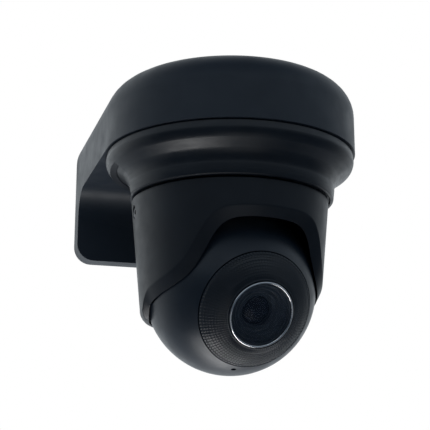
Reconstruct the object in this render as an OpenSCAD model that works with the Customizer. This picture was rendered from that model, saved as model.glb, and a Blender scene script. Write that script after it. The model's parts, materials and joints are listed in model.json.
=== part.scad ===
// Ball-type pan and tilt camera hanging under an L-shaped wall bracket.
// The origin is the centre of the wall bolt pattern, on the wall. +Z is up and -Y points away from the wall.
// z = 0 is the underside of the bracket's arm, and the pan axis stands at y = -reach.

/* [Bracket] */
// Distance from the wall to the pan axis
reach = 89; // [86:1:110]
// Radius of the round front of the cup, which is also half the arm's width
cup_r = 61.3; // [61:0.1:64]
// Height of the cup and arm
cup_h = 34.4; // [34:0.2:38]
// Radius of the cup's rounded upper edge
cup_edge = 15.5; // [12:0.5:16]
// Thickness of the wall plate
plate_t = 10.6; // [8:0.2:12]
// How far the wall plate hangs below the arm
plate_drop = 37.3; // [34:0.5:40]
// Distance between the columns of wall screws
wall_bolt_x = 44; // [40:1:48]
// Distance between the rows of wall screws
wall_bolt_z = 48; // [44:1:50]

/* [Base] */
// Largest radius of the trim ring
ring_r = 60.5; // [60:0.1:60.5]
// Radius of the trim ring's neck
neck_r = 50.8; // [50.6:0.1:52]
// First and last angle of the notch in the trim ring, from +X towards +Y
notch_from = 128; // [120:1:130]
notch_to = 184; // [180:1:190]

/* [Head] */
// Pan angle as modelled, from straight ahead towards +X
pan_rest = 8; // [0:1:20]
// Tilt angle as modelled, down from level
tilt_rest = 27.6; // [0:0.1:60]
// Radius at the top of the pan shell
shell_top_r = 47.8; // [47.7:0.1:48.2]
// Thickness of the pan shell
shell_t = 3.5; // [3:0.1:3.5]
// Radius of the ball
ball_r = 40.7; // [40:0.1:40.7]
// Distance from the arm's underside down to the ball's centre
ball_drop = 65.4; // [65:0.1:66]

/* [Optics] */
// Radius of the infrared faceplate
face_r = 27.3; // [27:0.1:27.4]
// Radius of the front window
window_r = 14.1; // [13.8:0.1:14.1]
// Outer radius of the lens barrel
barrel_r = 12; // [11.5:0.1:12]

/* [Hidden] */
$fn = 96;
e = 0.01;

black = [0.045, 0.05, 0.06];
soft_black = [0.09, 0.095, 0.105];
steel = [0.62, 0.63, 0.65];
board_green = [0.05, 0.25, 0.14];

// Bracket: wall thickness, floor thickness, access hole and wall holes
wall_t = 3.5;
floor_t = 4;
access_r = 44;
under_fillet = 14;
corner_r = 9;
wall_hole_r = 2.75;
wall_head_r = 5;
wall_head_depth = 4.5;
entry_z = 17;
entry_hole_r = 9;
entry_bore_r = 4;

// Base: heights below the arm, z = 0
gasket_t = 0.8;
ring_top = -0.7;
ring_bottom = -22.6;
ring_t = 1.8;
flange_bottom = -3.3;
base_floor_top = -19.9;
base_floor_bottom = -21.9;
base_wall_r = 48.2;
base_bore_r = 45.8;
lid_bottom = -2.8;
base_screw_r = 53;
base_screw_angles = [90, 210, 330];
ring_bulge_x = ring_r - 6.2;
ring_bulge_z = -3.4;
ring_hollow_z = -17.4;
ring_lip_in = 0.5;
notch_top = -8;
ring_slope = 51;

// Pan drive
pan_shaft_r = 12;
pan_gear_teeth = 52;
pan_pinion_teeth = 11;
pan_gear_tip = 25.9;
pan_pinion_tip = 5.5;
pan_centres = 31.8;
pan_motor_angle = 60;
pan_gear_z = -12.9;
pan_gear_t = 3;
bearing_z = base_floor_top;
bearing_h = 6;

// Pan shell
shell_top = -23.2;
shell_bottom = -81.2;
shell_taper = 0.0935;
round_z = -76;
round_r = 6;
round_x = shell_top_r - (shell_top - round_z) * shell_taper - round_r;
ball_gap = 0.8;
frame_top = -22.4;
frame_bottom = -24.2;
frame_r = 44;
arm_in = 37.1;
arm_out = 38.9;
arm_half = 9;
arm_room = 0.4;
foot_x = 41.9;
foot_y = 12.4;
arm_screw_x = 40.2;
arm_screw_rows = [3, 10];
side_screw_y = 8;
side_screw_z = -30;
side_seat_x = 44;

// Arch: top of the opening, half angle of its sides and the slope of its legs
arch_top = -40.1;
arch_half = 39.4;
arch_side = 11;
arch_fall = 26.9;
leg_from = 47.6;
leg_slope = 0.196;
leg_end = 90;
leg_blend = 18;
chamfer = 4.5;
chamfer_end = 84;

// Ball
ball_t = 2.2;
ball_in = ball_r - ball_t;
flat_x = 36.5;
flat_in = 34.3;
cap_z = -21;
ledge_z = 26.6;
ledge_r = 25.4;
face_t = 2.5;
ball_screw_r = 29.5;
ball_screw_angles = [60, 120, 240, 300];
ball_screw_seat = -23.5;
mic_angle = 48;
mic_hole_r = 1.2;
mic_roll = -6;
bush_r = 6.5;
fixed_hub_r = 5;
pivot_r = 4;
fit_gap = 0.05;

// Tilt drive
tilt_gear_teeth = 18;
tilt_pinion_teeth = 8;
tilt_gear_tip = 8.8;
tilt_pinion_tip = 3.9;
tilt_motor_off = 9.2;
tilt_gear_x = -33.3;
tilt_gear_t = 3;

// Optics, measured forward from the ball's centre along the lens axis
barrel_in = 10.4;
barrel_rear = -11;
barrel_front = 31;
carrier_z = 12;
screw_off = 19;
screw_r = 1.3;
nut_r = 1.7;
motor_rear = -19;
motor_front = -9;

// ---- Shared shapes ----

function arc(cx, cy, r, from, to, n = 8) =
    [for (i = [0:n]) let (a = from + (to - from) * i / n) [cx + r * cos(a), cy + r * sin(a)]];
function reverse(list) = [for (i = [len(list) - 1:-1:0]) list[i]];

module at_pan_axis() translate([0, -reach, 0]) children();
module in_pan() at_pan_axis() rotate([0, 0, pan_rest]) children();
module in_ball() in_pan() translate([0, 0, -ball_drop]) rotate([tilt_rest, 0, 0]) children();
// x stays across, y is up and z runs forward along the lens
module along_lens() in_ball() rotate([90, 0, 0]) children();
// z runs across along +X from x = from
module across(from) translate([from, 0, 0]) rotate([90, 0, 90]) children();

module tube(r_out, r_in, z, h) {
    translate([0, 0, z]) difference() {
        cylinder(r = r_out, h = h);
        translate([0, 0, -1]) cylinder(r = r_in, h = h + 2);
    }
}

module disc(r, z, h) translate([0, 0, z]) cylinder(r = r, h = h);

module block(x0, x1, y0, y1, z0, z1) translate([x0, y0, z0]) cube([x1 - x0, y1 - y0, z1 - z0]);

module ring_of(radius, angles) for (a = angles) rotate([0, 0, a]) translate([radius, 0, 0]) children();

// Toothed disc: each tooth is a flat-topped trapezium
function teeth(count, tip, depth) = [for (i = [0:count - 1], k = [0:3])
    let (a = (i + [0.05, 0.35, 0.5, 0.9][k]) * 360 / count, r = (k == 1 || k == 2) ? tip : tip - depth)
    [r * cos(a), r * sin(a)]];
module toothed(count, tip, depth, h) linear_extrude(height = h) polygon(teeth(count, tip, depth));

// ---- Bracket ----

function bracket_profile(inset, base) = concat(
    [[0, base], [cup_r - inset, base]],
    arc(cup_r - cup_edge, cup_h - cup_edge, cup_edge - inset, 0, 90, 10),
    [[0, cup_h - inset]]);

module bracket_volume(inset, base, wall_gap) {
    at_pan_axis() rotate_extrude() polygon(bracket_profile(inset, base));
    for (side = [0, 1])
        mirror([side, 0, 0]) translate([0, -wall_gap, 0]) rotate([90, 0, 0])
            linear_extrude(height = reach - wall_gap) polygon(bracket_profile(inset, base));
}

module wall_holes() for (x = [-1, 1], z = [-1, 1])
    translate([x * wall_bolt_x / 2, 0, z * wall_bolt_z / 2]) rotate([90, 0, 0]) {
        translate([0, 0, -1]) cylinder(r = wall_hole_r, h = plate_t + 2);
        translate([0, 0, plate_t - wall_head_depth]) cylinder(r = wall_head_r, h = wall_head_depth + 1);
    }

module wall_bracket() color(black) difference() {
    union() {
        bracket_volume(0, 0, 0);
        rotate([90, 0, 0]) linear_extrude(height = plate_t) polygon(concat(
            [[cup_r, 5], [-cup_r, 5]],
            arc(corner_r - cup_r, corner_r - plate_drop, corner_r, 180, 270),
            arc(cup_r - corner_r, corner_r - plate_drop, corner_r, 270, 360)));
        translate([-cup_r, 0, 0]) rotate([90, 0, 90]) linear_extrude(height = 2 * cup_r) polygon(concat(
            [[1 - plate_t, 0.5], [-plate_t - under_fillet, 0.5]],
            arc(-plate_t - under_fillet, -under_fillet, under_fillet, 90, 0),
            [[1 - plate_t, -under_fillet]]));
    }
    bracket_volume(wall_t, floor_t, plate_t);
    at_pan_axis() disc(access_r, -1, floor_t + 2);
    at_pan_axis() ring_of(base_screw_r, base_screw_angles) disc(2.2, -1, floor_t + 2);
    wall_holes();
    translate([0, 1, entry_z]) rotate([90, 0, 0]) cylinder(r = entry_hole_r, h = plate_t + 2);
}

module cable_grommet() color(soft_black) translate([0, 0, entry_z]) rotate([90, 0, 0]) difference() {
    union() {
        cylinder(r = entry_hole_r, h = plate_t);
        disc(11, plate_t, 2);
    }
    translate([0, 0, -1]) cylinder(r = entry_bore_r, h = plate_t + 4);
}

// ---- Base ----

module base_gasket() color(soft_black) at_pan_axis() tube(58.2, 56, -gasket_t, gasket_t);

module base_housing() color(black) at_pan_axis() difference() {
    rotate_extrude() polygon([
        [base_bore_r, -gasket_t], [58.3, -gasket_t], [58.3, flange_bottom], [base_wall_r, flange_bottom],
        [base_wall_r, base_floor_bottom], [14.5, base_floor_bottom], [14.5, base_floor_top],
        [17.2, base_floor_top], [17.2, bearing_z + bearing_h], [20, bearing_z + bearing_h],
        [20, base_floor_top], [base_bore_r, base_floor_top]]);
    ring_of(base_screw_r, base_screw_angles) disc(2.2, flange_bottom - 1, 4);
}

module base_screws() color(steel) at_pan_axis() ring_of(base_screw_r, base_screw_angles) {
    disc(3.4, flange_bottom - 2, 2);
    disc(2, flange_bottom - e, 6.8);
}

// The outer curve of the ring: a round bulge, a straight slope and a hollow curve into the neck
function ogee(inset, bottom) = concat(
    [[ring_r - 0.3 - inset, ring_top]],
    arc(ring_bulge_x, ring_bulge_z, ring_r - ring_bulge_x - inset, 0, -ring_slope),
    arc(neck_r + 8, ring_hollow_z, 8 + inset, 180 - ring_slope, 180),
    [[neck_r - ring_lip_in - inset, bottom]]);

module trim_ring() color(black) at_pan_axis() difference() {
    rotate_extrude($fn = 144) polygon(concat(
        ogee(0, ring_bottom + 0.8),
        [[neck_r - ring_lip_in - 0.8, ring_bottom], [neck_r - ring_lip_in - ring_t, ring_bottom]],
        reverse(ogee(ring_t, ring_bottom + 0.8))));
    translate([0, 0, ring_bottom - 1]) linear_extrude(height = notch_top - ring_bottom + 1)
        polygon(concat([[0, 0]], arc(0, 0, 80, notch_from, notch_to, 12)));
}

module side_entry_cover() color(black) at_pan_axis() rotate([0, 0, notch_from - 3])
    rotate_extrude(angle = notch_to - notch_from + 6) polygon(concat(
        [[base_wall_r + 0.1, -4.2], [58.1, -4.2]],
        arc(ring_bulge_x, ring_bulge_z, 4.1, -20, -ring_slope, 4),
        arc(neck_r + 8, ring_hollow_z, 10.1, 180 - ring_slope, 170, 6),
        [[base_wall_r + 0.1, -16]]));

module base_lid() color(steel) at_pan_axis() difference() {
    disc(base_bore_r - 0.1, lid_bottom, -gasket_t - lid_bottom);
    translate([0, 20, lid_bottom - 1]) cylinder(r = 6, h = 4);
    rotate([0, 0, pan_motor_angle + 180]) translate([pan_centres, 0, lid_bottom - 1]) cylinder(r = 10.4, h = 4);
}

module cable_gland() color(soft_black) at_pan_axis() translate([0, 20, 0]) {
    tube(6, 3.5, lid_bottom, 12);
    tube(9, 6, -gasket_t, 4);
}

module main_board() color(board_green) at_pan_axis() difference() {
    disc(44, -7.2, 1.6);
    disc(7, -8, 3);
    rotate([0, 0, pan_motor_angle + 180]) translate([pan_centres, 0, -8]) cylinder(r = 11, h = 3);
}

module board_chips() color(soft_black) at_pan_axis() {
    block(12, 26, -30, -16, -5.6, -3.8);
    block(14, 24, 6, 16, -5.6, -4);
    block(-30, -22, 8, 18, -5.6, -3.6);
    block(28, 38, -4, 4, -5.6, -3.2);
}

module pan_motor() color(steel) at_pan_axis() rotate([0, 0, pan_motor_angle + 180])
    translate([pan_centres, 0, 0]) disc(10, -8.9, 15);

module pan_bearing_outer() color(steel) at_pan_axis() tube(17.2, 15.6, bearing_z, bearing_h);

module pan_bearing_balls() color(steel) at_pan_axis() ring_of(14.4, [0:30:330])
    translate([0, 0, bearing_z + bearing_h / 2]) sphere(r = 1.1, $fn = 24);

module pan_shaft_seal() color(soft_black) at_pan_axis() tube(14.5, 12.4, base_floor_bottom, 1.9);

module pan_pinion() color("goldenrod") at_pan_axis() rotate([0, 0, pan_motor_angle + 180])
    translate([pan_centres, 0, 0]) {
        translate([0, 0, pan_gear_z - 0.4]) toothed(pan_pinion_teeth, pan_pinion_tip, 1.2, pan_gear_t + 0.8);
        disc(1.5, pan_gear_z + pan_gear_t, 0.7);
    }

// ---- Pan head ----

function tanh(x) = 1 - 2 / (exp(2 * x) + 1);
function soft_step(x) = let (c = min(max(x, 0), 1)) c * c * (3 - 2 * c);
function soft_ramp(x) = ln(1 + exp(x));
// Height of the opening's inner edge at the angle t from the front
function arch_z(t) = arch_top - arch_fall * (1 + tanh((t - arch_half) / arch_side)) / 2
    - leg_slope * 4 * soft_ramp((t - leg_from) / 4);
function edge_z(t) = let (s = soft_step((t - leg_end) / leg_blend))
    arch_z(min(t, leg_end + leg_blend)) * (1 - s) + shell_bottom * s;
// Height of the outer edge of the chamfer round the opening
function rim_z(t) = let (g = 1 - soft_step((t - chamfer_end) / leg_blend))
    edge_z(max(t - chamfer * g, 0)) + chamfer * g;
function shell_out(z) = z > round_z ? shell_top_r - (shell_top - z) * shell_taper
    : round_x + sqrt(max(round_r * round_r - pow(z - round_z, 2), 0));
function shell_in(z) = z > -ball_drop ? max(shell_out(z) - shell_t, ball_r + ball_gap)
    : sqrt(pow(ball_r + ball_gap, 2) - pow(z + ball_drop, 2));

shell_columns = 120;
shell_rows = 12;
shell_points = [for (i = [0:shell_columns - 1]) let (a = i * 360 / shell_columns, t = a > 180 ? 360 - a : a)
    for (k = [0:2 * shell_rows + 1])
        let (outer = k <= shell_rows,
            f = outer ? 1 - pow(1 - k / shell_rows, 1.8) : (2 * shell_rows + 1 - k) / shell_rows,
            z = shell_top + ((outer ? rim_z(t) : edge_z(t)) - shell_top) * f,
            r = outer ? shell_out(z) : shell_in(z))
        [r * sin(a), -r * cos(a), z]];
shell_loop = 2 * shell_rows + 2;
shell_faces = [for (i = [0:shell_columns - 1], k = [0:shell_loop - 1])
    let (j = (i + 1) % shell_columns, m = (k + 1) % shell_loop)
    [i * shell_loop + k, i * shell_loop + m, j * shell_loop + m, j * shell_loop + k]];

module pan_shell() color(black) in_pan() difference() {
    polyhedron(points = shell_points, faces = shell_faces, convexity = 6);
    for (side = [0, 1]) mirror([side, 0, 0]) translate([0, side_screw_y, side_screw_z]) {
        across(side_seat_x) cylinder(r = 3.2, h = 6, $fn = 32);
        across(40) cylinder(r = 1.7, h = 8, $fn = 24);
    }
}

module pan_frame() color(steel) in_pan() difference() {
    union() {
        disc(frame_r, frame_bottom, frame_top - frame_bottom);
        disc(pan_shaft_r, frame_top - e, pan_gear_z + pan_gear_t + 1.3 - frame_top);
    }
    disc(8, frame_bottom - 1, 30);
    yoke_screw_places() {
        disc(1.3, frame_bottom - 1, 4);
        disc(2.4, frame_top - 1.2, 2);
    }
}

module yoke_screw_places() for (x = [-1, 1], y = arm_screw_rows) translate([x * arm_screw_x, y, 0]) children();

module yoke_screws() color(steel) in_pan() yoke_screw_places() {
    disc(1.25, frame_bottom - 2.6, 3.2);
    disc(2.3, frame_top - 1.2, 1.1);
}

module pan_bearing_inner() color(steel) in_pan() tube(13.2, pan_shaft_r, bearing_z, bearing_h);

module pan_gear() color("goldenrod") in_pan() difference() {
    union() {
        translate([0, 0, pan_gear_z]) toothed(pan_gear_teeth, pan_gear_tip, 1.2, pan_gear_t);
        disc(13.2, bearing_z + bearing_h, pan_gear_z - bearing_z - bearing_h + 1);
    }
    disc(pan_shaft_r, bearing_z, 20);
}

module pan_lock_nut() color(steel) in_pan() tube(15, pan_shaft_r, pan_gear_z + pan_gear_t, 1.3);

// A flat arm from the frame down to the tilt axis, with a foot and a screw boss, on the +X side
module yoke_arm(hub_r) difference() {
    union() {
        across(arm_in) linear_extrude(height = arm_out - arm_in) {
            translate([0, -ball_drop]) square([arm_half, ball_drop + frame_bottom]);
            translate([0, -ball_drop]) circle(r = arm_half);
        }
        block(arm_in, foot_x, 0, foot_y, frame_bottom - 3, frame_bottom);
        translate([0, side_screw_y, side_screw_z]) across(arm_out - e) cylinder(r = 3, h = 2.9);
    }
    translate([0, 0, -ball_drop]) across(arm_in - 1) cylinder(r = hub_r, h = 4);
    translate([0, side_screw_y, side_screw_z]) across(arm_in - 1) cylinder(r = 1.5, h = 10);
    yoke_screw_places() disc(1.25, frame_bottom - 4, 5);
}

module yoke_arm_left() color(soft_black) in_pan() mirror([1, 0, 0]) yoke_arm(fixed_hub_r);
module yoke_arm_right() color(soft_black) in_pan() yoke_arm(pivot_r);

module side_screws() color(steel) in_pan() for (side = [0, 1]) mirror([side, 0, 0])
    translate([0, side_screw_y, side_screw_z]) {
        across(arm_in + 0.4) cylinder(r = 1.5, h = side_seat_x - arm_in);
        across(side_seat_x) difference() {
            cylinder(r = 2.7, h = 1.8);
            translate([0, 0, 0.8]) cylinder(r = 1.3, h = 2, $fn = 6);
        }
    }

module tilt_fixed_gear() color("goldenrod") in_pan() translate([0, 0, -ball_drop]) difference() {
    union() {
        across(-arm_out) cylinder(r = fixed_hub_r, h = arm_out + tilt_gear_x + tilt_gear_t);
        across(tilt_gear_x) toothed(tilt_gear_teeth, tilt_gear_tip, 1, tilt_gear_t);
    }
    across(-arm_out - 1) cylinder(r = 3, h = 14);
}

module tilt_pivot_pin() color(steel) in_pan() translate([0, 0, -ball_drop]) across(31)
    cylinder(r = pivot_r, h = arm_out - 31);

// ---- Ball ----

// Flats on both sides, only over the quarter that the arms sweep as the ball tilts
module arm_flats() for (side = [0, 1]) mirror([side, 0, 0]) across(flat_x)
    linear_extrude(height = 10) offset(r = arm_half + arm_room) translate([0, -30]) square(30);

module ball_wall() difference() {
    sphere(r = ball_r, $fn = 128);
    arm_flats();
    intersection() {
        sphere(r = ball_in, $fn = 128);
        cube([2 * flat_in, 3 * ball_r, 3 * ball_r], center = true);
    }
}

module mic_place() rotate([0, 0, mic_roll]) rotate([mic_angle, 0, 0]) children();

module ball_screw_bosses(z, h) ring_of(ball_screw_r, ball_screw_angles) disc(3, z, h);

module ball_shell() color(black) along_lens() difference() {
    union() {
        ball_wall();
        intersection() {
            sphere(r = ball_in + 0.5, $fn = 128);
            union() {
                tube(31, ledge_r, ledge_z - 2, 2);
                ball_screw_bosses(cap_z, 11);
            }
        }
    }
    disc(ledge_r, 10, 40);
    disc(face_r + 0.3, ledge_z, 40);
    translate([0, 0, cap_z - 40]) cylinder(r = 60, h = 40);
    ring_of(ball_screw_r, ball_screw_angles) disc(1.25, cap_z - 1, 9);
    across(-40) cylinder(r = bush_r, h = 80);
    mic_place() {
        disc(mic_hole_r, 30, 12);
        disc(1.8, 30, ball_in - 30);
    }
}

module ball_rear_cap() color(black) along_lens() difference() {
    union() {
        ball_wall();
        intersection() {
            sphere(r = ball_in + 0.5, $fn = 128);
            ball_screw_bosses(-40, 40 + cap_z - 0.2);
        }
    }
    translate([0, 0, cap_z - 0.2]) cylinder(r = 60, h = 100);
    ring_of(ball_screw_r, ball_screw_angles) {
        disc(1.5, -40, 30);
        disc(2.6, -40, 40 + ball_screw_seat);
    }
}

// Four strips of seal between the screw bosses
module ball_seal() color(soft_black) along_lens() difference() {
    tube(31.3, 30.2, cap_z - 1.2, 2.4);
    ball_screw_bosses(cap_z - 2, 4);
}

module ball_screws() color(steel) along_lens() ring_of(ball_screw_r, ball_screw_angles) {
    disc(2.4, ball_screw_seat - 1.4, 1.4);
    disc(1.25, ball_screw_seat - e, 10);
}

module bush_left() color("goldenrod") in_ball() across(-flat_x) tube(bush_r, fixed_hub_r + fit_gap, 0, flat_x - flat_in);
module bush_right() color("goldenrod") in_ball() across(flat_in) tube(bush_r, pivot_r + fit_gap, 0, flat_x - flat_in);

module faceplate() color(soft_black) along_lens() rotate_extrude($fn = 144) polygon(concat(
    arc(0, 0, ball_r, acos(face_r / ball_r), acos(16.2 / ball_r)),
    arc(0, 0, ball_r - face_t, acos(16.2 / (ball_r - face_t)), acos(face_r / (ball_r - face_t)))));

module ir_led_board() color(board_green) along_lens() tube(ledge_r - 0.2, 17, ledge_z - 1.9, 1.5);

module ir_leds() color("ivory") along_lens() ring_of(21.2, [0:45:315]) disc(2.4, ledge_z - 0.4, 1.6);

module chrome_ring() color("silver") along_lens() rotate_extrude() {
    translate([window_r + 0.5, 36.3]) square([0.9, 1.3]);
    translate([window_r + 0.95, 37.6]) circle(r = 0.45, $fn = 32);
}

module front_window() color([0.1, 0.12, 0.16, 0.5]) along_lens() disc(window_r, 35.6, 1.2);

// Stepped black cone behind the window
module lens_shroud() color(black) along_lens() rotate_extrude() polygon([
    [16, 26.5], [16, 36.3], [window_r + 0.1, 36.3], [window_r + 0.1, 35.5], [13.2, 35.5], [12.6, 34.2],
    [11.4, 34.2], [10.8, 33.2], [9.4, 33.2], [8.8, 32.4], [7.4, 32.4], [7.2, 31.1], [13, 31.1], [13, 26.5]]);

module lens_barrel() color(soft_black) along_lens() difference() {
    union() {
        tube(barrel_r, barrel_in, barrel_rear, barrel_front - barrel_rear);
        tube(barrel_r, 7, barrel_front - 2, 2);
    }
    block(8, 14, -2.8, 2.8, 14, 25);
    block(-2.8, 2.8, -14, -8, -9, 1.5);
}

module front_lens() color([0.2, 0.16, 0.3, 0.6]) along_lens() intersection() {
    disc(7, barrel_front - 2, 6);
    translate([0, 0, barrel_front - 9.4]) sphere(r = 11);
}

module lens_carrier() color(steel) along_lens() difference() {
    intersection() {
        disc(35.7, carrier_z, 2);
        cube([2 * flat_in - 0.2, 100, 100], center = true);
    }
    disc(barrel_r, carrier_z - 1, 4);
    translate([screw_off, 0, carrier_z - 1]) cylinder(r = nut_r, h = 4);
}

module microphone() color(soft_black) along_lens() mic_place() disc(1.7, ball_in - 2.5, 2.4);

module tilt_motor() color(steel) along_lens() translate([0, tilt_motor_off, -tilt_motor_off])
    across(-28.5) cylinder(r = 9.8, h = 14.5);

module tilt_pinion() color("goldenrod") along_lens() translate([0, tilt_motor_off, -tilt_motor_off]) {
    across(tilt_gear_x) toothed(tilt_pinion_teeth, tilt_pinion_tip, 1, tilt_gear_t);
    across(tilt_gear_x) cylinder(r = 1, h = -28.6 - tilt_gear_x);
}

module zoom_motor() color(steel) along_lens() translate([screw_off, 0, 0]) disc(5, motor_rear, 9.8);
module focus_motor() color(steel) along_lens() translate([0, -screw_off, 0]) disc(5, motor_rear, 9.8);

module sensor_board() color(board_green) along_lens() block(-11.5, 11.5, -11.5, 11.5, -16.4, -14.9);
module image_sensor() color(soft_black) along_lens() block(-4, 4, -3, 3, -14.9, -13.8);

// A moving lens cell in the barrel, whose nut reaches out to a drive screw on the +X side
module lens_cell(z, h) difference() {
    union() {
        disc(barrel_in - 0.4, z, h);
        block(8.5, screw_off + 2.6, -2.2, 2.2, z + 1, z + 3);
    }
    disc(7, z - 1, h + 2);
    translate([screw_off, 0, z - 1]) cylinder(r = nut_r, h = 6);
}

module drive_screw(z, h) translate([screw_off, 0, 0]) disc(screw_r, z, h);
module below() rotate([0, 0, -90]) children();

module zoom_group() color(soft_black) along_lens() lens_cell(14.4, 5);
module zoom_lens() color([0.3, 0.35, 0.45, 0.5]) along_lens() disc(7, 15, 3.6);
module zoom_screw() color(steel) along_lens() drive_screw(motor_front + 0.1, 33);
module focus_group() color(soft_black) along_lens() below() lens_cell(-6, 4.6);
module focus_lens() color([0.3, 0.35, 0.45, 0.5]) along_lens() disc(7, -5.6, 3.4);
module focus_screw() color(steel) along_lens() below() drive_screw(motor_front + 0.1, 15);

module ir_cut_filter() color([0.6, 0.2, 0.2]) along_lens() block(-12, 4, -5, 5, -13.2, -12);

wall_bracket();
cable_grommet();
base_gasket();
base_housing();
base_screws();
trim_ring();
side_entry_cover();
base_lid();
cable_gland();
main_board();
board_chips();
pan_motor();
pan_bearing_outer();
pan_bearing_balls();
pan_shaft_seal();
pan_pinion();
pan_shell();
pan_frame();
pan_bearing_inner();
pan_gear();
pan_lock_nut();
yoke_arm_left();
yoke_arm_right();
yoke_screws();
side_screws();
tilt_fixed_gear();
tilt_pivot_pin();
ball_shell();
ball_rear_cap();
ball_seal();
ball_screws();
bush_left();
bush_right();
faceplate();
ir_led_board();
ir_leds();
chrome_ring();
front_window();
lens_shroud();
lens_barrel();
front_lens();
lens_carrier();
microphone();
tilt_motor();
zoom_motor();
focus_motor();
sensor_board();
image_sensor();
tilt_pinion();
zoom_group();
zoom_lens();
zoom_screw();
focus_group();
focus_lens();
focus_screw();
ir_cut_filter();
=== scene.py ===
"""Looks of the ball-type pan and tilt camera under its wall bracket.

Lengths in the shape functions are millimetres in the part's own axes: the pan axes stand on the pan
axis at the arm's underside, and the lens axes have x across, y up and z forward from the ball's centre.
"""

import json
import math

import bmesh
import bpy
import numpy as np
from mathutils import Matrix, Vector


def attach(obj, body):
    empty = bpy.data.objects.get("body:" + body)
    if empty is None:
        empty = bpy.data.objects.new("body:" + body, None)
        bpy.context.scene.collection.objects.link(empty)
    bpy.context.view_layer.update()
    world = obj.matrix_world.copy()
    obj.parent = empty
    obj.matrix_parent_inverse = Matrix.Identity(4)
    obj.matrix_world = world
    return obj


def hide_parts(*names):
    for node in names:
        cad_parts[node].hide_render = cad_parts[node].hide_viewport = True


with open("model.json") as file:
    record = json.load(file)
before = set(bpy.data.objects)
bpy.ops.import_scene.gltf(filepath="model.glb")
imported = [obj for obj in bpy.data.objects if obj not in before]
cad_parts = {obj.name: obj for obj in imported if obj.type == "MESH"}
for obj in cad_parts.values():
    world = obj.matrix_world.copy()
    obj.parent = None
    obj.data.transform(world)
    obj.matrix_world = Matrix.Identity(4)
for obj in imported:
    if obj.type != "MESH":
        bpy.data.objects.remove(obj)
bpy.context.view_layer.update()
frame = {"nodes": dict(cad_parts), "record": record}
joints = {j["name"]: j for j in frame["record"]["behaviour"]["joints"]}

MM = 0.001
# Points nearer than MERGE metres become one, and faces that turn by less than FLAT count as flat
MERGE, FLAT = 2e-6, math.radians(0.4)
# An edge of a CAD shape that turns by more than this many degrees is kept and rounded
COPY_SHARP = 30
ACROSS = np.array(joints["tilt"]["axis"], float)
LENS = np.array(joints["zoom"]["axis"], float)
ACROSS /= np.linalg.norm(ACROSS)
LENS /= np.linalg.norm(LENS)
PAN_AT = np.array(joints["pan"]["pos_m"], float) * [1, 1, 0]
BALL_AT = np.array(joints["tilt"]["pos_m"], float)
BASE_AXES = np.eye(3)
PAN_AXES = np.array([ACROSS, np.cross([0, 0, 1], ACROSS), [0, 0, 1]])
BALL_AXES = np.array([ACROSS, np.cross(LENS, ACROSS), LENS])

# ---------------------------------------------------------------- mesh helpers


def placed(points, at, axes):
    """Each point in metres: the origin plus its three coordinates along the three axes."""
    return at + points @ axes * MM


def grid(rows, columns, ring=True):
    """Quads between the neighbours of a grid whose rows close up; ring also joins the last row to the first."""
    i = np.arange(rows if ring else rows - 1)[:, None]
    j = np.arange(columns)[None, :]
    i2, j2 = (i + 1) % rows, (j + 1) % columns
    corners = [i * columns + j, i2 * columns + j, i2 * columns + j2, i * columns + j2]
    return np.stack(np.broadcast_arrays(*corners), axis=-1).reshape(-1, 4).tolist()


def lathe(outline, columns, turn=None):
    """Points (r cos a, r sin a, z) of a closed outline of (r, z) carried round the axis.
    With turn, a pair of angles, it goes only from one to the other, and the outline closes both ends."""
    if turn is None:
        a = np.arange(columns) * 2 * math.pi / columns
    else:
        a = np.radians(np.linspace(turn[0], turn[1], columns))
    r, z = outline[:, 0], outline[:, 1]
    a = a[:, None]
    points = np.stack([np.cos(a) * r, np.sin(a) * r, np.ones_like(a) * z], axis=-1)
    faces = grid(columns, len(outline), ring=turn is None)
    if turn is not None:
        n = len(outline)
        faces += [list(range(n)), list(range(n * (columns - 1), n * columns))]
    return points.reshape(-1, 3), faces


def arc(x, y, r, start, end, steps):
    """Points (x + r cos a, y + r sin a) with a from start to end in degrees."""
    a = np.radians(np.linspace(start, end, steps + 1))
    return np.stack([x + r * np.cos(a), y + r * np.sin(a)], axis=-1)


def rounded(corners, reach, steps=3):
    """A closed outline with each corner turned into the quadratic curve that leaves its sides `reach` away,
    or at half a side's length where that is nearer: (1-t)^2 start + 2t(1-t) corner + t^2 end."""
    corners = np.asarray(corners, float)
    reach = np.broadcast_to(np.asarray(reach, float), len(corners))[:, None]
    sides = []
    for step in (1, -1):
        side = np.roll(corners, step, axis=0) - corners
        length = np.linalg.norm(side, axis=1, keepdims=True)
        sides.append(corners + side / np.maximum(length, 1e-9) * np.minimum(reach, 0.48 * length))
    t = np.linspace(0, 1, steps + 1)[None, :, None]
    start, end = sides[0][:, None], sides[1][:, None]
    return ((1 - t) ** 2 * start + 2 * t * (1 - t) * corners[:, None] + t**2 * end).reshape(-1, 2)


def finish_mesh(obj, sharp):
    """Smooth faces, with edges kept sharp where they turn by more than `sharp` degrees."""
    mesh = obj.data
    mesh.polygons.foreach_set("use_smooth", np.ones(len(mesh.polygons), bool))
    mesh.set_sharp_from_angle(angle=math.radians(sharp))


def new_object(name, mesh, body, nodes, material):
    """An object that rides a body, and takes the place of the CAD nodes that it shows."""
    obj = bpy.data.objects.new(name, mesh)
    bpy.context.scene.collection.objects.link(obj)
    mesh.materials.clear()
    mesh.materials.append(material)
    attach(obj, body)
    if nodes:
        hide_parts(*nodes)
    return obj


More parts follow.
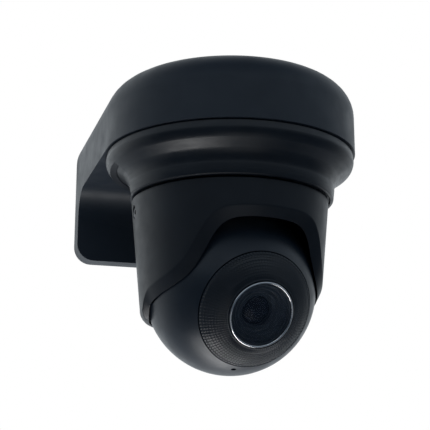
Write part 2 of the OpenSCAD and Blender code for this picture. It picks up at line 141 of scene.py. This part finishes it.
def piece(name, parts, at, axes, body, nodes, material, sharp):
    """One mesh from closed surfaces of (points, faces), with poles and seams merged and faces outwards."""
    mesh = bpy.data.meshes.new(name)
    work = bmesh.new()
    for points, faces in parts:
        mesh.clear_geometry()
        mesh.from_pydata(placed(points, at, axes).tolist(), [], faces)
        work.from_mesh(mesh)
    bmesh.ops.remove_doubles(work, verts=work.verts, dist=MERGE)
    bmesh.ops.recalc_face_normals(work, faces=work.faces)
    work.to_mesh(mesh)
    work.free()
    obj = new_object(name, mesh, body, nodes, material)
    finish_mesh(obj, sharp)
    return obj


def cut(obj, parts, at, axes, sharp):
    """Takes closed surfaces out of a piece, and keeps the result as the piece's own mesh."""
    tool = piece(obj.name + "_cut", parts, at, axes, "bracket", (), obj.data.materials[0], sharp)
    cutter = obj.modifiers.new("cut", "BOOLEAN")
    cutter.object, cutter.operation, cutter.solver = tool, "DIFFERENCE", "EXACT"
    graph = bpy.context.evaluated_depsgraph_get()
    result = bpy.data.meshes.new_from_object(obj.evaluated_get(graph), depsgraph=graph)
    obj.modifiers.clear()
    obj.data = result
    bpy.data.objects.remove(tool)
    finish_mesh(obj, sharp)


def merged_copy(node, material, bevel, body, segments=2):
    """A CAD node's shape as one joined mesh with its flat faces whole and its edges slightly rounded."""
    mesh = frame["nodes"][node].data.copy()
    mesh.name = node + "_finished"
    work = bmesh.new()
    work.from_mesh(mesh)
    bmesh.ops.remove_doubles(work, verts=work.verts, dist=MERGE)
    bmesh.ops.dissolve_limit(work, angle_limit=FLAT, verts=work.verts, edges=work.edges)
    work.to_mesh(mesh)
    work.free()
    obj = new_object(node + "_finished", mesh, body, [node], material)
    finish_mesh(obj, COPY_SHARP)
    edge = obj.modifiers.new("edges", "BEVEL")
    edge.width, edge.segments = bevel * MM, segments
    edge.limit_method, edge.angle_limit = "ANGLE", math.radians(COPY_SHARP)
    edge.harden_normals = True
    edge.use_clamp_overlap = True


# ---------------------------------------------------------------- material helpers


class Finish:
    """A Principled material whose detail comes from patterns on Object coordinates."""

    def __init__(self, name, **sockets):
        self.material = bpy.data.materials.new(name)
        self.material.use_nodes = True
        self.tree = self.material.node_tree
        self.shader = self.tree.nodes["Principled BSDF"]
        for key, value in sockets.items():
            self.shader.inputs[key.replace("_", " ").title().replace("Ior", "IOR")].default_value = value
        self.where = self.tree.nodes.new("ShaderNodeTexCoord").outputs["Object"]

    def node(self, kind, **values):
        made = self.tree.nodes.new(kind)
        for key, value in values.items():
            setattr(made, key, value)
        return made

    def noise(self, per_metre, detail, stretch=(1, 1, 1)):
        """Cloudy pattern with `per_metre` features in a metre, squeezed by stretch."""
        mapping = self.node("ShaderNodeMapping")
        mapping.inputs["Scale"].default_value = stretch
        made = self.node("ShaderNodeTexNoise")
        made.inputs["Scale"].default_value = per_metre
        made.inputs["Detail"].default_value = detail
        made.inputs["Roughness"].default_value = 0.55
        self.tree.links.new(self.where, mapping.inputs["Vector"])
        self.tree.links.new(mapping.outputs["Vector"], made.inputs["Vector"])
        return made.outputs["Fac"]

    def cells(self, per_metre):
        """Distance to the nearest of scattered points, for a leathered or cast skin."""
        made = self.node("ShaderNodeTexVoronoi")
        made.inputs["Scale"].default_value = per_metre
        self.tree.links.new(self.where, made.inputs["Vector"])
        return made.outputs["Distance"]

    def remap(self, source, low, high, start=0.3, end=0.7):
        """The pattern's span from start to end carried over to low to high."""
        made = self.node("ShaderNodeMapRange")
        made.inputs["From Min"].default_value, made.inputs["From Max"].default_value = start, end
        made.inputs["To Min"].default_value, made.inputs["To Max"].default_value = low, high
        self.tree.links.new(source, made.inputs["Value"])
        return made.outputs["Result"]

    def blend(self, factor, first, second):
        """Colour from first to second as factor goes from 0 to 1; either may be a colour or a socket."""
        made = self.node("ShaderNodeMix", data_type="RGBA")
        self.tree.links.new(factor, made.inputs["Factor"])
        for key, value in (("A", first), ("B", second)):
            socket = [s for s in made.inputs if s.name == key and s.type == "RGBA"][0]
            if isinstance(value, tuple):
                socket.default_value = (*value, 1)
            else:
                self.tree.links.new(value, socket)
        return [s for s in made.outputs if s.type == "RGBA"][0]

    def colour(self, socket):
        self.tree.links.new(socket, self.shader.inputs["Base Color"])

    def rough(self, socket):
        self.tree.links.new(socket, self.shader.inputs["Roughness"])

    def tint(self, per_metre, detail, first, second):
        """Cloudy colour between two tones."""
        self.colour(self.blend(self.remap(self.noise(per_metre, detail), 0, 1), first, second))

    def sheen(self, per_metre, detail, low, high, stretch=(1, 1, 1)):
        """Cloudy roughness between two values."""
        self.rough(self.remap(self.noise(per_metre, detail, stretch), low, high))

    def bump(self, height, depth, strength):
        """Raises the surface by up to `depth` millimetres; calls add up."""
        made = self.node("ShaderNodeBump")
        made.inputs["Strength"].default_value = strength
        made.inputs["Distance"].default_value = depth * MM
        self.tree.links.new(height, made.inputs["Height"])
        if self.shader.inputs["Normal"].links:
            self.tree.links.new(self.shader.inputs["Normal"].links[0].from_socket, made.inputs["Normal"])
        self.tree.links.new(made.outputs["Normal"], self.shader.inputs["Normal"])

    def edge_wear(self, base, worn):
        """Lightens ridges, broken up by a cloudy pattern."""
        ridge = self.remap(self.node("ShaderNodeNewGeometry").outputs["Pointiness"], 0, 1, 0.53, 0.6)
        broken = self.node("ShaderNodeMath", operation="MULTIPLY", use_clamp=True)
        self.tree.links.new(ridge, broken.inputs[0])
        self.tree.links.new(self.remap(self.noise(260, 4), 0, 1, 0.4, 0.7), broken.inputs[1])
        self.colour(self.blend(broken.outputs["Value"], base, worn))


# ---------------------------------------------------------------- finishes


def bracket_paint():
    """Satin black powder coat on cast alloy: fine orange peel, dust and slightly rubbed edges."""
    f = Finish("bracket_black", specular_ior_level=0.42)
    tone = f.blend(f.remap(f.noise(38, 4), 0, 1), (0.0125, 0.019, 0.029), (0.0165, 0.024, 0.035))
    f.edge_wear(tone, (0.045, 0.05, 0.057))
    f.sheen(90, 5, 0.38, 0.5)
    f.bump(f.noise(2600, 2), 0.02, 0.5)
    f.bump(f.noise(420, 2), 0.02, 0.35)
    return f.material


def shell_plastic():
    """Fine matte moulded plastic of the turning head."""
    f = Finish("shell_black", specular_ior_level=0.45)
    f.tint(55, 4, (0.004, 0.0065, 0.011), (0.0065, 0.010, 0.016))
    f.sheen(140, 5, 0.38, 0.48)
    f.bump(f.noise(3400, 2), 0.02, 0.55)
    return f.material


def ring_plastic():
    """Black plastic of the trim ring, with fine level lines left by its forming."""
    f = Finish("ring_black", specular_ior_level=0.5)
    f.tint(60, 4, (0.004, 0.0065, 0.011), (0.0065, 0.010, 0.0155))
    f.sheen(120, 5, 0.3, 0.42, (1, 1, 6))
    f.bump(f.noise(900, 2, (0.06, 0.06, 1)), 0.05, 0.5)
    f.bump(f.noise(3000, 2), 0.015, 0.4)
    return f.material


def ball_plastic():
    """Finer satin plastic of the ball."""
    f = Finish("ball_black", specular_ior_level=0.5)
    f.tint(60, 4, (0.006, 0.011, 0.019), (0.009, 0.0155, 0.025))
    f.sheen(150, 5, 0.32, 0.42)
    f.bump(f.noise(3800, 2), 0.015, 0.5)
    return f.material


def infrared_plastic():
    """Glossy dark plastic that lets infrared through, knurled in the mesh."""
    f = Finish("ir_window", specular_ior_level=0.6)
    f.tint(80, 3, (0.004, 0.0075, 0.0125), (0.007, 0.0115, 0.018))
    f.sheen(400, 3, 0.15, 0.25)
    f.bump(f.noise(4000, 1), 0.01, 0.3)
    return f.material


def chrome():
    """Polished plated metal, slightly clouded."""
    f = Finish("chrome_trim", metallic=1.0)
    f.tint(300, 3, (0.84, 0.84, 0.85), (0.92, 0.92, 0.92))
    f.sheen(500, 4, 0.08, 0.2)
    f.bump(f.noise(1500, 2), 0.01, 0.2)
    return f.material


def window_glass():
    """Coated glass: mostly see-through, with a dark blue cast."""
    f = Finish("window_glass", base_color=(0.015, 0.022, 0.035, 1), alpha=0.2)
    f.sheen(200, 4, 0.0, 0.012)
    return f.material


def lens_glass():
    """Dark coated glass with a soft shine."""
    f = Finish("lens_glass", specular_ior_level=0.5)
    f.tint(90, 2, (0.006, 0.009, 0.016), (0.012, 0.013, 0.024))
    f.sheen(500, 3, 0.13, 0.2)
    return f.material


def lens_black():
    """Flocked black inside of the lens mount."""
    f = Finish("lens_black", specular_ior_level=0.4)
    f.tint(400, 3, (0.028, 0.038, 0.052), (0.036, 0.047, 0.062))
    f.sheen(900, 3, 0.34, 0.46)
    f.bump(f.noise(2500, 2), 0.01, 0.3)
    return f.material


def rubber():
    """Matte moulded rubber with a fine grain."""
    f = Finish("rubber", specular_ior_level=0.35)
    f.tint(200, 4, (0.012, 0.012, 0.014), (0.024, 0.024, 0.026))
    f.sheen(500, 4, 0.68, 0.85)
    f.bump(f.noise(2500, 3), 0.03, 0.6)
    return f.material


def cast_alloy():
    """Bare cast metal with a grainy skin."""
    f = Finish("cast_alloy", metallic=1.0)
    f.tint(120, 4, (0.27, 0.28, 0.3), (0.38, 0.39, 0.41))
    f.sheen(300, 4, 0.38, 0.58)
    f.bump(f.cells(1200), 0.03, 0.4)
    return f.material


def brushed(name, colour, roughness):
    """Bright metal with fine drawn lines."""
    f = Finish(name, metallic=1.0)
    darker = tuple(c * 0.84 for c in colour)
    f.tint(150, 4, darker, colour)
    f.sheen(2000, 2, roughness - 0.07, roughness + 0.09, (1, 1, 0.08))
    f.bump(f.noise(4000, 2, (1, 1, 0.06)), 0.01, 0.4)
    return f.material


def gear_nylon():
    """Milky moulded gear plastic."""
    f = Finish("gear_plastic", subsurface_weight=0.08)
    f.tint(180, 4, (0.74, 0.72, 0.64), (0.84, 0.82, 0.76))
    f.sheen(500, 4, 0.36, 0.5)
    f.bump(f.noise(3000, 2), 0.015, 0.4)
    return f.material


def circuit_board():
    """Solder mask with the faint weave of the glass cloth and copper runs under it."""
    f = Finish("circuit_board", specular_ior_level=0.5)
    runs = f.node("ShaderNodeTexBrick")
    runs.inputs["Scale"].default_value = 160
    runs.inputs["Mortar Size"].default_value = 0.05
    runs.inputs["Color1"].default_value = (0.012, 0.12, 0.06, 1)
    runs.inputs["Color2"].default_value = (0.016, 0.14, 0.07, 1)
    runs.inputs["Mortar"].default_value = (0.05, 0.26, 0.13, 1)
    f.tree.links.new(f.where, runs.inputs["Vector"])
    f.colour(f.blend(f.remap(f.noise(300, 3), 0, 0.4), runs.outputs["Color"], (0.02, 0.2, 0.1)))
    f.sheen(700, 3, 0.25, 0.4)
    f.bump(f.noise(1800, 2), 0.02, 0.4)
    return f.material


def chip_black():
    """Moulded chip body with a sandy skin."""
    f = Finish("chip")
    f.tint(900, 3, (0.024, 0.024, 0.027), (0.04, 0.04, 0.043))
    f.sheen(900, 3, 0.52, 0.7)
    f.bump(f.noise(4000, 2), 0.01, 0.5)
    return f.material


def led_dome():
    """Pale resin of the infrared lamps."""
    f = Finish("led", transmission_weight=0.3)
    f.tint(600, 2, (0.64, 0.62, 0.52), (0.78, 0.76, 0.68))
    f.sheen(900, 2, 0.1, 0.22)
    return f.material


def filter_glass():
    """Red-tinted filter glass."""
    f = Finish("filter_glass", transmission_weight=0.5)
    f.tint(300, 2, (0.45, 0.1, 0.09), (0.55, 0.15, 0.12))
    f.sheen(600, 2, 0.05, 0.12)
    return f.material


def pale_floor():
    """Plain pale ground."""
    f = Finish("floor", roughness=0.6)
    f.tint(3, 3, (0.84, 0.84, 0.85), (0.88, 0.88, 0.88))
    return f.material


FINISHES = {
    "bracket_black": bracket_paint(),
    "shell_black": shell_plastic(),
    "cast_alloy": cast_alloy(),
    "rubber": rubber(),
    "steel": brushed("steel", (0.6, 0.6, 0.62), 0.3),
    "motor_can": brushed("motor_can", (0.5, 0.51, 0.53), 0.36),
    "gear_brass": brushed("gear_brass", (0.7, 0.53, 0.23), 0.3),
    "gear_plastic": gear_nylon(),
    "circuit_board": circuit_board(),
    "chip": chip_black(),
    "led": led_dome(),
    "ir_window": infrared_plastic(),
    "chrome_trim": chrome(),
    "window_glass": window_glass(),
    "lens_black": lens_black(),
    "lens_glass": lens_glass(),
    "filter_glass": filter_glass(),
}
BLACK_SCREW = brushed("black_screw", (0.06, 0.062, 0.068), 0.3)
RING_BLACK = ring_plastic()
BALL_BLACK = ball_plastic()


def paint_cad_nodes():
    """Gives each CAD node the finish that its material slot names."""
    for node in frame["nodes"].values():
        for slot in node.material_slots:
            name = slot.material.name.split(".")[0]
            if name in FINISHES:
                slot.material = FINISHES[name]


# ---------------------------------------------------------------- trim ring

RING_R, NECK_R, RING_T, LIP_IN = 60.5, 50.8, 1.8, 0.5
RING_TOP, RING_BOTTOM = -0.7, -22.6
BULGE_X, BULGE_Z, HOLLOW_Z, SLOPE = RING_R - 6.2, -3.4, -17.4, 51
NOTCH = (128, 184)
NOTCH_TOP = -8.0


def ogee(inset, bottom):
    """The ring's outer curve moved in by `inset`: a bulge, a straight slope and a hollow into the neck."""
    return np.concatenate([
        [[RING_R - 0.3 - inset, RING_TOP]],
        arc(BULGE_X, BULGE_Z, RING_R - BULGE_X - inset, 0, -SLOPE, 18),
        arc(NECK_R + 8, HOLLOW_Z, 8 + inset, 180 - SLOPE, 180, 22),
        [[NECK_R - LIP_IN - inset, bottom]],
    ])


def trim_ring():
    """The outline goes down the outside, round the lip and up the inside. Over the notch it stops short,
    where both curves reach the notch's top."""
    low = NECK_R - LIP_IN
    lip = [[low - 0.12, -22.15], [low - 0.45, -22.5], [low - 0.8, RING_BOTTOM], [low - 1.5, RING_BOTTOM]]
    whole = np.concatenate([ogee(0, -21.6), lip, ogee(RING_T, -22.1)[::-1]])
    sides = []
    for inset in (0, RING_T):
        curve = ogee(inset, -22)
        level = curve[:, 1] >= NOTCH_TOP
        cross = np.interp(-NOTCH_TOP, -curve[:, 1], curve[:, 0])
        sides.append(np.concatenate([curve[level], [[cross, NOTCH_TOP]]]))
    short = np.concatenate([sides[0], sides[1][::-1]])
    parts = [
        lathe(whole, 380, (NOTCH[1], NOTCH[0] + 360)),
        lathe(short, 70, (NOTCH[0] - 0.02, NOTCH[1] + 0.02)),
    ]
    piece("trim_ring_turned", parts, PAN_AT, BASE_AXES, "bracket", ["trim_ring"], RING_BLACK,
          28)


# ---------------------------------------------------------------- head shell

TOP_Z, BOTTOM_Z, TOP_R, TAPER = -23.2, -81.2, 47.8, 0.0935
ROUND_Z, ROUND_R = -76.0, 6.0
ROUND_X = TOP_R - (TOP_Z - ROUND_Z) * TAPER - ROUND_R
WALL = 3.5
BALL_Z, BALL_R, GAP = -65.4, 40.7, 0.8
ARCH_TOP, ARCH_HALF, ARCH_SIDE, ARCH_FALL = -40.1, 39.4, 11, 26.9
LEG_FROM, LEG_SLOPE, LEG_END, LEG_BLEND = 47.6, 0.196, 90, 18
CHAMFER, CHAMFER_END = 4.5, 84
SCREW_Y, SCREW_Z, SCREW_SEAT, SCREW_RECESS = 8, -30, 44, 3.2


def soft_step(x):
    """0 below 0, 1 above 1, and 3x^2 - 2x^3 between."""
    c = np.clip(x, 0, 1)
    return c * c * (3 - 2 * c)


def arch_z(t):
    """Height of the inner edge t degrees from the front: a flat top, a tanh fall and sloping legs."""
    fall = ARCH_FALL * (1 + np.tanh((t - ARCH_HALF) / ARCH_SIDE)) / 2
    return ARCH_TOP - fall - LEG_SLOPE * 4 * np.logaddexp(0, (t - LEG_FROM) / 4)


def edge_z(t):
    """The opening's edge eased into the level bottom edge behind."""
    s = soft_step((t - LEG_END) / LEG_BLEND)
    return arch_z(np.minimum(t, LEG_END + LEG_BLEND)) * (1 - s) + BOTTOM_Z * s


def rim_z(t):
    """The chamfer's outer edge: the inner edge moved up and round by CHAMFER, fading out towards the back."""
    g = 1 - soft_step((t - CHAMFER_END) / LEG_BLEND)
    return edge_z(np.maximum(t - CHAMFER * g, 0)) + CHAMFER * g


def shell_out(z):
    """Radius outside: a cone, then a round of radius ROUND_R towards the bottom."""
    low = np.sqrt(np.maximum(ROUND_R**2 - (z - ROUND_Z) ** 2, 0)) + ROUND_X
    return np.where(z > ROUND_Z, TOP_R - (TOP_Z - z) * TAPER, low)


def shell_in(z):
    """Radius inside: the cone less the wall, then a cylinder and a half sphere just clear of the ball."""
    clear = BALL_R + GAP
    return np.where(z > BALL_Z, np.maximum(shell_out(z) - WALL, clear), np.sqrt(clear**2 - (z - BALL_Z) ** 2))


def on_wall(radius, z):
    """Points (r, z) where the shell's wall has each height."""
    return np.stack([radius(z), z], axis=-1)


def corner(before, at, after, reach, steps=4):
    """Points of the quadratic curve that rounds a corner, `reach` along each side."""
    start = at + (before - at) / np.linalg.norm(before - at, axis=-1, keepdims=True) * reach
    end = at + (after - at) / np.linalg.norm(after - at, axis=-1, keepdims=True) * reach
    t = np.linspace(0, 1, steps + 1)[None, :, None]
    return (1 - t) ** 2 * start[:, None] + 2 * t * (1 - t) * at[:, None] + t**2 * end[:, None]


def head_shell():
    """At each angle a closed outline of (r, z): down the outside, over the chamfer, up the inside and across
    the top. A round recess for each side screw is cut from it."""
    columns, soft = 560, 0.55
    a = np.arange(columns) * 2 * math.pi / columns
    t = np.degrees(np.minimum(a, 2 * math.pi - a))
    rim, edge, top = rim_z(t), edge_z(t), np.full(columns, TOP_Z)
    top_out, top_in = on_wall(shell_out, top), on_wall(shell_in, top)
    rim_at, edge_at = on_wall(shell_out, rim), on_wall(shell_in, edge)
    down = np.linspace(0, 1, 44)[None, :]
    up = down[:, ::2]
    outside = on_wall(shell_out, (TOP_Z - soft) * (1 - down) + (rim[:, None] + soft) * down)
    inside = on_wall(shell_in, (edge[:, None] + soft) * (1 - up) + (TOP_Z - soft) * up)
    loop = np.concatenate([
        corner(top_in, top_out, on_wall(shell_out, top - 2), soft),
        outside,
        corner(on_wall(shell_out, rim + 0.3), rim_at, edge_at, soft),
        corner(rim_at, edge_at, on_wall(shell_in, edge + 0.3), soft * 0.8),
        inside,
        top_in[:, None],
    ], axis=1)
    r, z = loop[..., 0], loop[..., 1]
    points = np.stack([r * np.sin(a)[:, None], -r * np.cos(a)[:, None], z], axis=-1)
    shell = (points.reshape(-1, 3), grid(columns, loop.shape[1]))
    obj = piece("pan_shell_moulded", [shell], PAN_AT, PAN_AXES, "pan_head", ["pan_shell"],
                FINISHES["shell_black"], 40)
    recess = np.array([[0, SCREW_SEAT], [SCREW_RECESS, SCREW_SEAT], [SCREW_RECESS, 52], [0, 52]])
    points, faces = lathe(recess, 40)
    for side in (1, -1):
        sideways = np.stack([points[:, 2] * side, points[:, 0] + SCREW_Y, points[:, 1] + SCREW_Z], axis=-1)
        cut(obj, [(sideways, faces)], PAN_AT, PAN_AXES, 40)


# ---------------------------------------------------------------- ball

FLAT_X, FLAT_IN, BALL_T, ARM_ROOM = 36.5, 34.3, 2.2, 9.4
CAP_Z, LEDGE_Z, LEDGE_R = -21.0, 26.6, 25.4
FACE_R, HOLE_R, FACE_T = 27.3, 16.2, 2.5
MIC_ANGLE, MIC_ROLL, MIC_R = 48, -6, 1.2


def prism(outline, start, end):
    """A closed outline of (y, z) carried along x from start to end."""
    n = len(outline)
    points = np.concatenate([np.column_stack([np.full(n, x), outline]) for x in (start, end)])
    return points, grid(2, n, ring=False) + [list(range(n)), list(range(n, 2 * n))]


def ball_shell():
    """A closed outline turned round the lens axis: outer sphere, back edge, inner sphere, ledge and front.
    The inner sphere is held within a half width of FLAT_IN. The outer flats cover only the quarter that the
    arms sweep, and the microphone's hole is cut straight through the wall."""
    front = math.degrees(math.asin((FACE_R + 0.3) / BALL_R))
    back = math.degrees(math.acos(CAP_Z / BALL_R))
    inner_back = math.degrees(math.acos(CAP_Z / (BALL_R - BALL_T)))
    theta = np.radians(np.linspace(front + 0.4, back - 0.4, 90))
    outer = np.stack([BALL_R * np.sin(theta), BALL_R * np.cos(theta)], axis=-1)
    theta = np.radians(np.linspace(inner_back - 0.3, 50, 60))
    inner = np.stack([np.sin(theta), np.cos(theta)], axis=-1) * (BALL_R - BALL_T)
    seat_r = FACE_R + 0.3
    ledge = [[31, LEDGE_Z - 2], [LEDGE_R, LEDGE_Z - 2], [LEDGE_R, LEDGE_Z], [seat_r, LEDGE_Z],
             [seat_r, 29.6], [seat_r + 0.12, 29.82]]
    outline = np.concatenate([outer, inner, ledge])
    points, faces = lathe(outline, 300)
    inside = np.linalg.norm(points, axis=1) < BALL_R - BALL_T / 2
    points[inside, 0] = np.clip(points[inside, 0], -FLAT_IN, FLAT_IN)
    obj = piece("ball_shell_moulded", [(points, faces)], BALL_AT, BALL_AXES, "ball", ["ball_shell"],
                BALL_BLACK, 34)
    swept = np.concatenate([arc(0, 0, ARM_ROOM, 180, 90, 12), [[45, ARM_ROOM], [45, -45], [-ARM_ROOM, -45]]])
    cut(obj, [prism(swept, FLAT_X, 45), prism(swept, -45, -FLAT_X)], BALL_AT, BALL_AXES, 34)
    points, faces = lathe(np.array([[0, 34], [MIC_R, 34], [MIC_R, 43], [0, 43]]), 32)
    tilt, roll = math.radians(MIC_ANGLE), math.radians(MIC_ROLL)
    lean = np.array([[1, 0, 0], [0, math.cos(tilt), -math.sin(tilt)], [0, math.sin(tilt), math.cos(tilt)]])
    turn = np.array([[math.cos(roll), -math.sin(roll), 0], [math.sin(roll), math.cos(roll), 0], [0, 0, 1]])
    cut(obj, [(points @ (turn @ lean).T, faces)], BALL_AT, BALL_AXES, 34)


def faceplate():
    """A ring on the ball's sphere cut by grooves: each is a soft step of a cosine, round the lens for the
    radial ones and outwards for the circles, which fade in from the inner rim. Both fade out at the rims."""
    around, outwards, across_back = 1080, 82, 6
    ribs, rings, depth = 108, 9.5, 0.42
    a = np.arange(around) * 2 * math.pi / around
    inner, outer = math.asin(HOLE_R / BALL_R), math.asin(FACE_R / BALL_R)
    u = np.linspace(0, 1, outwards)
    theta = inner + (outer - inner) * u
    fade = soft_step(u / 0.06) * soft_step((1 - u) / 0.05)
    radial = soft_step((0.5 + 0.5 * np.cos(a * ribs) - 0.12) / 0.36)[:, None]
    level = soft_step((0.5 + 0.5 * np.cos(u * rings * 2 * math.pi) - 0.12) / 0.36)[None, :]
    reach = soft_step((u - 0.12) / 0.3)[None, :]
    crest = radial * (1 - reach + reach * level)
    r = BALL_R - depth * (1 - crest) * fade[None, :]
    front = np.stack([r * np.sin(theta), r * np.cos(theta)], axis=-1)
    back_r = BALL_R - FACE_T
    theta = np.linspace(math.asin(FACE_R / back_r), math.asin(HOLE_R / back_r), across_back)
    back = np.stack([back_r * np.sin(theta), back_r * np.cos(theta)], axis=-1)
    loop = np.concatenate([front, np.broadcast_to(back, (around, across_back, 2))], axis=1)
    r, z = loop[..., 0], loop[..., 1]
    points = np.stack([r * np.cos(a)[:, None], r * np.sin(a)[:, None], z], axis=-1)
    plate = (points.reshape(-1, 3), grid(around, outwards + across_back))
    piece("faceplate_knurled", [plate], BALL_AT, BALL_AXES, "ball", ["faceplate"], FINISHES["ir_window"],
          60)


WINDOW_Z, WINDOW_R, WINDOW_T = 35.6, 14.05, 1.2
BEAD_AT, BEAD_R, BEAD_Z, RING_SEAT = 15.05, 0.45, 37.6, 36.3
LENS_BACK, DOME_R, DOME_Z, DOME_EDGE = 29.05, 11, 21.6, 50.6


def turned_on_lens(name, outline, columns, node, finish, sharp):
    """A closed outline of (r, z) turned round the lens axis, riding the ball."""
    parts = [lathe(outline, columns)]
    piece(name, parts, BALL_AT, BALL_AXES, "ball", [node], FINISHES[finish], sharp)


def chrome_ring():
    """A thin tube round the window with a half-round bead on its front."""
    tube = [[BEAD_AT - BEAD_R, RING_SEAT], [BEAD_AT + BEAD_R, RING_SEAT]]
    outline = np.concatenate([tube, arc(BEAD_AT, BEAD_Z, BEAD_R, 0, 180, 20)])
    turned_on_lens("chrome_ring_turned", outline, 180, "chrome_ring", "chrome_trim", 40)


def front_window():
    """A flat disc with ground edges."""
    top = WINDOW_Z + WINDOW_T
    outline = rounded([[0, WINDOW_Z], [WINDOW_R, WINDOW_Z], [WINDOW_R, top], [0, top]], [0, 0.1, 0.15, 0])
    turned_on_lens("front_window_ground", outline, 120, "front_window", "window_glass", 40)


def lens_mount():
    """A black funnel behind the window that steps inwards to the lens."""
    outline = rounded([
        [16, 26.5], [16, 36.25], [14.3, 36.25], [14.3, 35.5], [13.2, 35.5], [12.6, 34.2], [11.4, 34.2],
        [10.8, 33.2], [9.4, 33.2], [8.8, 32.4], [7.4, 32.4], [7.2, 31.1], [13, 31.1], [13, 26.5]], 0.14)
    turned_on_lens("lens_shroud_stepped", outline, 150, "lens_shroud", "lens_black", 30)


def front_lens():
    """A cap of a sphere, with its upright edge and flat back."""
    rise = arc(0, DOME_Z, DOME_R, 90, DOME_EDGE, 24)
    outline = np.concatenate([rise, [[rise[-1, 0], LENS_BACK], [0, LENS_BACK]]])
    turned_on_lens("front_lens_ground", outline, 96, "front_lens", "lens_glass", 40)


# ---------------------------------------------------------------- room, light and camera


def floor():
    """A wide level square far below, kept out of reflections."""
    size, low = 8.0, -1.1
    mesh = bpy.data.meshes.new("floor")
    corners = [(x, y, low) for x, y in ((-size, -size), (size, -size), (size, size), (-size, size))]
    mesh.from_pydata(corners, [], [(0, 1, 2, 3)])
    obj = bpy.data.objects.new("floor", mesh)
    obj.data.materials.append(pale_floor())
    obj.visible_glossy = False
    bpy.context.scene.collection.objects.link(obj)


LOW_FRONT, HIGH_FRONT, OVERHEAD = (0.035, 0.05, 0.07), (0.42, 0.49, 0.56), (0.1, 0.13, 0.17)
WALL_SIDE, WALL_LOW = (0.84, 0.9, 0.94), (0.3, 0.33, 0.37)


def studio():
    """White surroundings on the wall side and dark ones in front, lighter upwards; the view is white."""
    world = bpy.data.worlds.new("studio")
    bpy.context.scene.world = world
    world.use_nodes = True
    tree = world.node_tree
    direction = tree.nodes.new("ShaderNodeSeparateXYZ")
    tree.links.new(tree.nodes.new("ShaderNodeTexCoord").outputs["Generated"], direction.inputs["Vector"])

    def rise(axis, start, end):
        made = tree.nodes.new("ShaderNodeMapRange")
        made.interpolation_type = "SMOOTHSTEP"
        made.inputs["From Min"].default_value, made.inputs["From Max"].default_value = start, end
        tree.links.new(direction.outputs[axis], made.inputs["Value"])
        return made.outputs["Result"]

    def mixed(factor, first, second):
        made = tree.nodes.new("ShaderNodeMixRGB")
        tree.links.new(factor, made.inputs["Fac"])
        for key, value in (("Color1", first), ("Color2", second)):
            if isinstance(value, tuple):
                made.inputs[key].default_value = (*value, 1)
            else:
                tree.links.new(value, made.inputs[key])
        return made.outputs["Color"]

    front = mixed(rise("Z", 0.05, 0.45), LOW_FRONT, HIGH_FRONT)
    front = mixed(rise("Z", 0.45, 0.9), front, OVERHEAD)
    wall = mixed(rise("Z", -0.1, -0.6), WALL_SIDE, WALL_LOW)
    around = mixed(rise("Y", -0.1, 0.95), front, wall)
    seen = mixed(tree.nodes.new("ShaderNodeLightPath").outputs["Is Camera Ray"], around, (1.0, 1.0, 1.0))
    tree.links.new(seen, tree.nodes["Background"].inputs["Color"])


def softbox(name, at, towards, size, power):
    """A rectangular area light aimed at a point."""
    lamp = bpy.data.lights.new(name, "AREA")
    lamp.shape, lamp.size, lamp.size_y, lamp.energy = "RECTANGLE", size[0], size[1], power
    obj = bpy.data.objects.new(name, lamp)
    bpy.context.scene.collection.objects.link(obj)
    obj.location = at
    obj.rotation_euler = (Vector(towards) - Vector(at)).to_track_quat("-Z", "Y").to_euler()
    obj.visible_camera = False


def camera():
    """A long lens, low on the left and looking up."""
    lens = bpy.data.cameras.new("camera")
    lens.lens, lens.sensor_width = 95.8, 36
    obj = bpy.data.objects.new("camera", lens)
    bpy.context.scene.collection.objects.link(obj)
    obj.location = (-0.15734, -0.60201, -0.17299)
    obj.rotation_euler = (math.radians(90 + 15.09), 0, math.radians(-16.28))
    bpy.context.scene.camera = obj


# ---------------------------------------------------------------- build

paint_cad_nodes()
merged_copy("wall_bracket", FINISHES["bracket_black"], 0.45, "bracket", 3)
merged_copy("side_entry_cover", RING_BLACK, 0.3, "bracket")
merged_copy("base_gasket", FINISHES["rubber"], 0.15, "bracket")
merged_copy("cable_grommet", FINISHES["rubber"], 0.4, "bracket")
merged_copy("ball_rear_cap", BALL_BLACK, 0.15, "ball")
merged_copy("side_screws", BLACK_SCREW, 0.2, "pan_head")
trim_ring()
head_shell()
ball_shell()
faceplate()
chrome_ring()
front_window()
lens_mount()
front_lens()
floor()
studio()
softbox("low_softbox", (-0.04, 0.03, -0.44), (0.02, -0.06, -0.05), (0.4, 0.2), 0.95)
softbox("wall_softbox", (0.18, 0.32, -0.43), (0.1, -0.1, -0.05), (0.7, 0.4), 0.12)
for side, x in (("left", -0.085), ("right", 0.06)):
    softbox("floor_strip_" + side, (x, -0.28, -0.43), (x, -0.26, 0), (0.08, 0.5), 0.06)
camera()
bpy.context.scene.view_settings.view_transform = "Standard"
